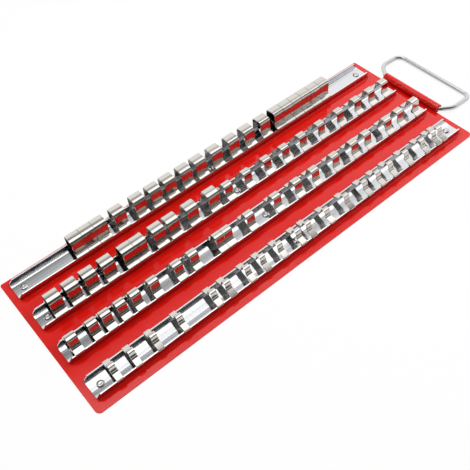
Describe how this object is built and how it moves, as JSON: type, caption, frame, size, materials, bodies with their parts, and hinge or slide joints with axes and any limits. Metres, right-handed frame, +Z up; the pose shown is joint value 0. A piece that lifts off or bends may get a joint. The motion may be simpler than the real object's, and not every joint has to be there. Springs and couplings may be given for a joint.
{
  "type": "socket organizer",
  "caption": "Flat red steel tray with riveted chrome rails; sprung clips in stepped drive sizes slide on the rails to hold sockets, and a wire bail turns in a rolled eye.",
  "frame": {"origin": "middle of the tray's flat underside, between the long edges and between the ends of the sheet without its eye", "axes": "+X along the rails towards the handle, +Y across the rails towards the back edge with the largest clips, +Z up from the bench"},
  "size_m": [0.4732, 0.155, 0.025],
  "materials": {
    "tray_paint": "glossy red powder coat on steel sheet",
    "rail_chrome": "bright chrome plate on steel strip",
    "bail_chrome": "satin chrome plate on steel wire",
    "clip_steel": "bright nickel plate on spring steel strip"
  },
  "bodies": {
    "tray": {"tray": "tray_paint", "rail_1": "rail_chrome", "rail_2": "rail_chrome", "rail_3": "rail_chrome", "rail_4": "rail_chrome"},
    "bail": {"bail": "bail_chrome"},
    "rail_1_half_inch_clip_01": {"rail_1_half_inch_clip_01": "clip_steel"},
    "rail_1_half_inch_clip_02": {"rail_1_half_inch_clip_02": "clip_steel"},
    "rail_1_half_inch_clip_03": {"rail_1_half_inch_clip_03": "clip_steel"},
    "rail_1_half_inch_clip_04": {"rail_1_half_inch_clip_04": "clip_steel"},
    "rail_1_half_inch_clip_05": {"rail_1_half_inch_clip_05": "clip_steel"},
    "rail_1_half_inch_clip_06": {"rail_1_half_inch_clip_06": "clip_steel"},
    "rail_1_half_inch_clip_07": {"rail_1_half_inch_clip_07": "clip_steel"},
    "rail_1_half_inch_clip_08": {"rail_1_half_inch_clip_08": "clip_steel"},
    "rail_1_half_inch_clip_09": {"rail_1_half_inch_clip_09": "clip_steel"},
    "rail_1_half_inch_clip_10": {"rail_1_half_inch_clip_10": "clip_steel"},
    "rail_1_half_inch_clip_11": {"rail_1_half_inch_clip_11": "clip_steel"},
    "rail_1_half_inch_clip_12": {"rail_1_half_inch_clip_12": "clip_steel"},
    "rail_2_half_inch_clip_01": {"rail_2_half_inch_clip_01": "clip_steel"},
    "rail_2_half_inch_clip_02": {"rail_2_half_inch_clip_02": "clip_steel"},
    "rail_2_half_inch_clip_03": {"rail_2_half_inch_clip_03": "clip_steel"},
    "rail_2_half_inch_clip_04": {"rail_2_half_inch_clip_04": "clip_steel"},
    "rail_2_half_inch_clip_05": {"rail_2_half_inch_clip_05": "clip_steel"},
    "rail_2_half_inch_clip_06": {"rail_2_half_inch_clip_06": "clip_steel"},
    "rail_2_half_inch_clip_07": {"rail_2_half_inch_clip_07": "clip_steel"},
    "rail_2_half_inch_clip_08": {"rail_2_half_inch_clip_08": "clip_steel"},
    "rail_2_half_inch_clip_09": {"rail_2_half_inch_clip_09": "clip_steel"},
    "rail_2_three_eighth_clip_01": {"rail_2_three_eighth_clip_01": "clip_steel"},
    "rail_2_three_eighth_clip_02": {"rail_2_three_eighth_clip_02": "clip_steel"},
    "rail_2_three_eighth_clip_03": {"rail_2_three_eighth_clip_03": "clip_steel"},
    "rail_2_three_eighth_clip_04": {"rail_2_three_eighth_clip_04": "clip_steel"},
    "rail_2_three_eighth_clip_05": {"rail_2_three_eighth_clip_05": "clip_steel"},
    "rail_2_three_eighth_clip_06": {"rail_2_three_eighth_clip_06": "clip_steel"},
    "rail_2_three_eighth_clip_07": {"rail_2_three_eighth_clip_07": "clip_steel"},
    "rail_2_three_eighth_clip_08": {"rail_2_three_eighth_clip_08": "clip_steel"},
    "rail_2_three_eighth_clip_09": {"rail_2_three_eighth_clip_09": "clip_steel"},
    "rail_2_three_eighth_clip_10": {"rail_2_three_eighth_clip_10": "clip_steel"},
    "rail_3_three_eighth_clip_01": {"rail_3_three_eighth_clip_01": "clip_steel"},
    "rail_3_three_eighth_clip_02": {"rail_3_three_eighth_clip_02": "clip_steel"},
    "rail_3_three_eighth_clip_03": {"rail_3_three_eighth_clip_03": "clip_steel"},
    "rail_3_three_eighth_clip_04": {"rail_3_three_eighth_clip_04": "clip_steel"},
    "rail_3_three_eighth_clip_05": {"rail_3_three_eighth_clip_05": "clip_steel"},
    "rail_3_three_eighth_clip_06": {"rail_3_three_eighth_clip_06": "clip_steel"},
    "rail_3_three_eighth_clip_07": {"rail_3_three_eighth_clip_07": "clip_steel"},
    "rail_3_three_eighth_clip_08": {"rail_3_three_eighth_clip_08": "clip_steel"},
    "rail_3_three_eighth_clip_09": {"rail_3_three_eighth_clip_09": "clip_steel"},
    "rail_3_three_eighth_clip_10": {"rail_3_three_eighth_clip_10": "clip_steel"},
    "rail_3_three_eighth_clip_11": {"rail_3_three_eighth_clip_11": "clip_steel"},
    "rail_3_three_eighth_clip_12": {"rail_3_three_eighth_clip_12": "clip_steel"},
    "rail_3_three_eighth_clip_13": {"rail_3_three_eighth_clip_13": "clip_steel"},
    "rail_3_three_eighth_clip_14": {"rail_3_three_eighth_clip_14": "clip_steel"},
    "rail_3_three_eighth_clip_15": {"rail_3_three_eighth_clip_15": "clip_steel"},
    "rail_3_three_eighth_clip_16": {"rail_3_three_eighth_clip_16": "clip_steel"},
    "rail_3_three_eighth_clip_17": {"rail_3_three_eighth_clip_17": "clip_steel"},
    "rail_3_three_eighth_clip_18": {"rail_3_three_eighth_clip_18": "clip_steel"},
    "rail_3_three_eighth_clip_19": {"rail_3_three_eighth_clip_19": "clip_steel"},
    "rail_4_quarter_inch_clip_01": {"rail_4_quarter_inch_clip_01": "clip_steel"},
    "rail_4_quarter_inch_clip_02": {"rail_4_quarter_inch_clip_02": "clip_steel"},
    "rail_4_quarter_inch_clip_03": {"rail_4_quarter_inch_clip_03": "clip_steel"},
    "rail_4_quarter_inch_clip_04": {"rail_4_quarter_inch_clip_04": "clip_steel"}
  },
  "joints": [
    {"name": "bail_hinge", "type": "hinge", "parent": "tray", "child": "bail", "pos_m": [0.218, 0.0013, 0.00405], "axis": [0, -1, 0], "range_deg": [-87.2, 142.7]},
    {"name": "rail_1_half_inch_clip_01_slide", "type": "slide", "parent": "tray", "child": "rail_1_half_inch_clip_01", "axis": [1, 0, 0], "range_m": [-0.05271, 0.0035]},
    {"name": "rail_1_half_inch_clip_02_slide", "type": "slide", "parent": "tray", "child": "rail_1_half_inch_clip_02", "axis": [1, 0, 0], "range_m": [-0.0035, 0.00439]},
    {"name": "rail_1_half_inch_clip_03_slide", "type": "slide", "parent": "tray", "child": "rail_1_half_inch_clip_03", "axis": [1, 0, 0], "range_m": [-0.00439, 0.00229]},
    {"name": "rail_1_half_inch_clip_04_slide", "type": "slide", "parent": "tray", "child": "rail_1_half_inch_clip_04", "axis": [1, 0, 0], "range_m": [-0.00229, 0.00188]},
    {"name": "rail_1_half_inch_clip_05_slide", "type": "slide", "parent": "tray", "child": "rail_1_half_inch_clip_05", "axis": [1, 0, 0], "range_m": [-0.00188, 0.00292]},
    {"name": "rail_1_half_inch_clip_06_slide", "type": "slide", "parent": "tray", "child": "rail_1_half_inch_clip_06", "axis": [1, 0, 0], "range_m": [-0.00292, 0.00209]},
    {"name": "rail_1_half_inch_clip_07_slide", "type": "slide", "parent": "tray", "child": "rail_1_half_inch_clip_07", "axis": [1, 0, 0], "range_m": [-0.00209, 0.00334]},
    {"name": "rail_1_half_inch_clip_08_slide", "type": "slide", "parent": "tray", "child": "rail_1_half_inch_clip_08", "axis": [1, 0, 0], "range_m": [-0.00334, 0.00417]},
    {"name": "rail_1_half_inch_clip_09_slide", "type": "slide", "parent": "tray", "child": "rail_1_half_inch_clip_09", "axis": [1, 0, 0], "range_m": [-0.00417, 0.00314]},
    {"name": "rail_1_half_inch_clip_10_slide", "type": "slide", "parent": "tray", "child": "rail_1_half_inch_clip_10", "axis": [1, 0, 0], "range_m": [-0.00314, 0.00376]},
    {"name": "rail_1_half_inch_clip_11_slide", "type": "slide", "parent": "tray", "child": "rail_1_half_inch_clip_11", "axis": [1, 0, 0], "range_m": [-0.00376, 0.00269]},
    {"name": "rail_1_half_inch_clip_12_slide", "type": "slide", "parent": "tray", "child": "rail_1_half_inch_clip_12", "axis": [1, 0, 0], "range_m": [-0.00269, 0.05193]},
    {"name": "rail_2_half_inch_clip_01_slide", "type": "slide", "parent": "tray", "child": "rail_2_half_inch_clip_01", "axis": [1, 0, 0], "range_m": [-0.00818, 0.00208]},
    {"name": "rail_2_half_inch_clip_02_slide", "type": "slide", "parent": "tray", "child": "rail_2_half_inch_clip_02", "axis": [1, 0, 0], "range_m": [-0.00208, 0.00209]},
    {"name": "rail_2_half_inch_clip_03_slide", "type": "slide", "parent": "tray", "child": "rail_2_half_inch_clip_03", "axis": [1, 0, 0], "range_m": [-0.00209, 0.0025]},
    {"name": "rail_2_half_inch_clip_04_slide", "type": "slide", "parent": "tray", "child": "rail_2_half_inch_clip_04", "axis": [1, 0, 0], "range_m": [-0.0025, 0.00363]},
    {"name": "rail_2_half_inch_clip_05_slide", "type": "slide", "parent": "tray", "child": "rail_2_half_inch_clip_05", "axis": [1, 0, 0], "range_m": [-0.00363, 0.00343]},
    {"name": "rail_2_half_inch_clip_06_slide", "type": "slide", "parent": "tray", "child": "rail_2_half_inch_clip_06", "axis": [1, 0, 0], "range_m": [-0.00343, 0.00125]},
    {"name": "rail_2_half_inch_clip_07_slide", "type": "slide", "parent": "tray", "child": "rail_2_half_inch_clip_07", "axis": [1, 0, 0], "range_m": [-0.00125, 0.00417]},
    {"name": "rail_2_half_inch_clip_08_slide", "type": "slide", "parent": "tray", "child": "rail_2_half_inch_clip_08", "axis": [1, 0, 0], "range_m": [-0.00417, 0.00543]},
    {"name": "rail_2_half_inch_clip_09_slide", "type": "slide", "parent": "tray", "child": "rail_2_half_inch_clip_09", "axis": [1, 0, 0], "range_m": [-0.00543, 0.00372]},
    {"name": "rail_2_three_eighth_clip_01_slide", "type": "slide", "parent": "tray", "child": "rail_2_three_eighth_clip_01", "axis": [1, 0, 0], "range_m": [-0.00372, 0.00661]},
    {"name": "rail_2_three_eighth_clip_02_slide", "type": "slide", "parent": "tray", "child": "rail_2_three_eighth_clip_02", "axis": [1, 0, 0], "range_m": [-0.00661, 0.00724]},
    {"name": "rail_2_three_eighth_clip_03_slide", "type": "slide", "parent": "tray", "child": "rail_2_three_eighth_clip_03", "axis": [1, 0, 0], "range_m": [-0.00724, 0.00661]},
    {"name": "rail_2_three_eighth_clip_04_slide", "type": "slide", "parent": "tray", "child": "rail_2_three_eighth_clip_04", "axis": [1, 0, 0], "range_m": [-0.00661, 0.00661]},
    {"name": "rail_2_three_eighth_clip_05_slide", "type": "slide", "parent": "tray", "child": "rail_2_three_eighth_clip_05", "axis": [1, 0, 0], "range_m": [-0.00661, 0.00724]},
    {"name": "rail_2_three_eighth_clip_06_slide", "type": "slide", "parent": "tray", "child": "rail_2_three_eighth_clip_06", "axis": [1, 0, 0], "range_m": [-0.00724, 0.00806]},
    {"name": "rail_2_three_eighth_clip_07_slide", "type": "slide", "parent": "tray", "child": "rail_2_three_eighth_clip_07", "axis": [1, 0, 0], "range_m": [-0.00806, 0.00745]},
    {"name": "rail_2_three_eighth_clip_08_slide", "type": "slide", "parent": "tray", "child": "rail_2_three_eighth_clip_08", "axis": [1, 0, 0], "range_m": [-0.00745, 0.00515]},
    {"name": "rail_2_three_eighth_clip_09_slide", "type": "slide", "parent": "tray", "child": "rail_2_three_eighth_clip_09", "axis": [1, 0, 0], "range_m": [-0.00515, 0.00473]},
    {"name": "rail_2_three_eighth_clip_10_slide", "type": "slide", "parent": "tray", "child": "rail_2_three_eighth_clip_10", "axis": [1, 0, 0], "range_m": [-0.00473, 0.00643]},
    {"name": "rail_3_three_eighth_clip_01_slide", "type": "slide", "parent": "tray", "child": "rail_3_three_eighth_clip_01", "axis": [1, 0, 0], "range_m": [-0.00185, 0.00473]},
    {"name": "rail_3_three_eighth_clip_02_slide", "type": "slide", "parent": "tray", "child": "rail_3_three_eighth_clip_02", "axis": [1, 0, 0], "range_m": [-0.00473, 0.0016]},
    {"name": "rail_3_three_eighth_clip_03_slide", "type": "slide", "parent": "tray", "child": "rail_3_three_eighth_clip_03", "axis": [1, 0, 0], "range_m": [-0.0016, 0.00243]},
    {"name": "rail_3_three_eighth_clip_04_slide", "type": "slide", "parent": "tray", "child": "rail_3_three_eighth_clip_04", "axis": [1, 0, 0], "range_m": [-0.00243, 0.00223]},
    {"name": "rail_3_three_eighth_clip_05_slide", "type": "slide", "parent": "tray", "child": "rail_3_three_eighth_clip_05", "axis": [1, 0, 0], "range_m": [-0.00223, 0.00432]},
    {"name": "rail_3_three_eighth_clip_06_slide", "type": "slide", "parent": "tray", "child": "rail_3_three_eighth_clip_06", "axis": [1, 0, 0], "range_m": [-0.00432, 0.00745]},
    {"name": "rail_3_three_eighth_clip_07_slide", "type": "slide", "parent": "tray", "child": "rail_3_three_eighth_clip_07", "axis": [1, 0, 0], "range_m": [-0.00745, 0.00349]},
    {"name": "rail_3_three_eighth_clip_08_slide", "type": "slide", "parent": "tray", "child": "rail_3_three_eighth_clip_08", "axis": [1, 0, 0], "range_m": [-0.00349, 0.00916]},
    {"name": "rail_3_three_eighth_clip_09_slide", "type": "slide", "parent": "tray", "child": "rail_3_three_eighth_clip_09", "axis": [1, 0, 0], "range_m": [-0.00916, 0.0079]},
    {"name": "rail_3_three_eighth_clip_10_slide", "type": "slide", "parent": "tray", "child": "rail_3_three_eighth_clip_10", "axis": [1, 0, 0], "range_m": [-0.0079, 0.01079]},
    {"name": "rail_3_three_eighth_clip_11_slide", "type": "slide", "parent": "tray", "child": "rail_3_three_eighth_clip_11", "axis": [1, 0, 0], "range_m": [-0.01079, 0.00785]},
    {"name": "rail_3_three_eighth_clip_12_slide", "type": "slide", "parent": "tray", "child": "rail_3_three_eighth_clip_12", "axis": [1, 0, 0], "range_m": [-0.00785, 0.00599]},
    {"name": "rail_3_three_eighth_clip_13_slide", "type": "slide", "parent": "tray", "child": "rail_3_three_eighth_clip_13", "axis": [1, 0, 0], "range_m": [-0.00599, 0.00828]},
    {"name": "rail_3_three_eighth_clip_14_slide", "type": "slide", "parent": "tray", "child": "rail_3_three_eighth_clip_14", "axis": [1, 0, 0], "range_m": [-0.00828, 0.00765]},
    {"name": "rail_3_three_eighth_clip_15_slide", "type": "slide", "parent": "tray", "child": "rail_3_three_eighth_clip_15", "axis": [1, 0, 0], "range_m": [-0.00765, 0.00411]},
    {"name": "rail_3_three_eighth_clip_16_slide", "type": "slide", "parent": "tray", "child": "rail_3_three_eighth_clip_16", "axis": [1, 0, 0], "range_m": [-0.00411, 0.00952]},
    {"name": "rail_3_three_eighth_clip_17_slide", "type": "slide", "parent": "tray", "child": "rail_3_three_eighth_clip_17", "axis": [1, 0, 0], "range_m": [-0.00952, 0.00369]},
    {"name": "rail_3_three_eighth_clip_18_slide", "type": "slide", "parent": "tray", "child": "rail_3_three_eighth_clip_18", "axis": [1, 0, 0], "range_m": [-0.00369, 0.0062]},
    {"name": "rail_3_three_eighth_clip_19_slide", "type": "slide", "parent": "tray", "child": "rail_3_three_eighth_clip_19", "axis": [1, 0, 0], "range_m": [-0.0062, 0.006]},
    {"name": "rail_4_quarter_inch_clip_01_slide", "type": "slide", "parent": "tray", "child": "rail_4_quarter_inch_clip_01", "axis": [1, 0, 0], "range_m": [-0.01377, 0.00582]},
    {"name": "rail_4_quarter_inch_clip_02_slide", "type": "slide", "parent": "tray", "child": "rail_4_quarter_inch_clip_02", "axis": [1, 0, 0], "range_m": [-0.00582, 0.00707]},
    {"name": "rail_4_quarter_inch_clip_03_slide", "type": "slide", "parent": "tray", "child": "rail_4_quarter_inch_clip_03", "axis": [1, 0, 0], "range_m": [-0.00707, 0.00936]},
    {"name": "rail_4_quarter_inch_clip_04_slide", "type": "slide", "parent": "tray", "child": "rail_4_quarter_inch_clip_04", "axis": [1, 0, 0], "range_m": [-0.00936, 0.02748]}
  ]
}
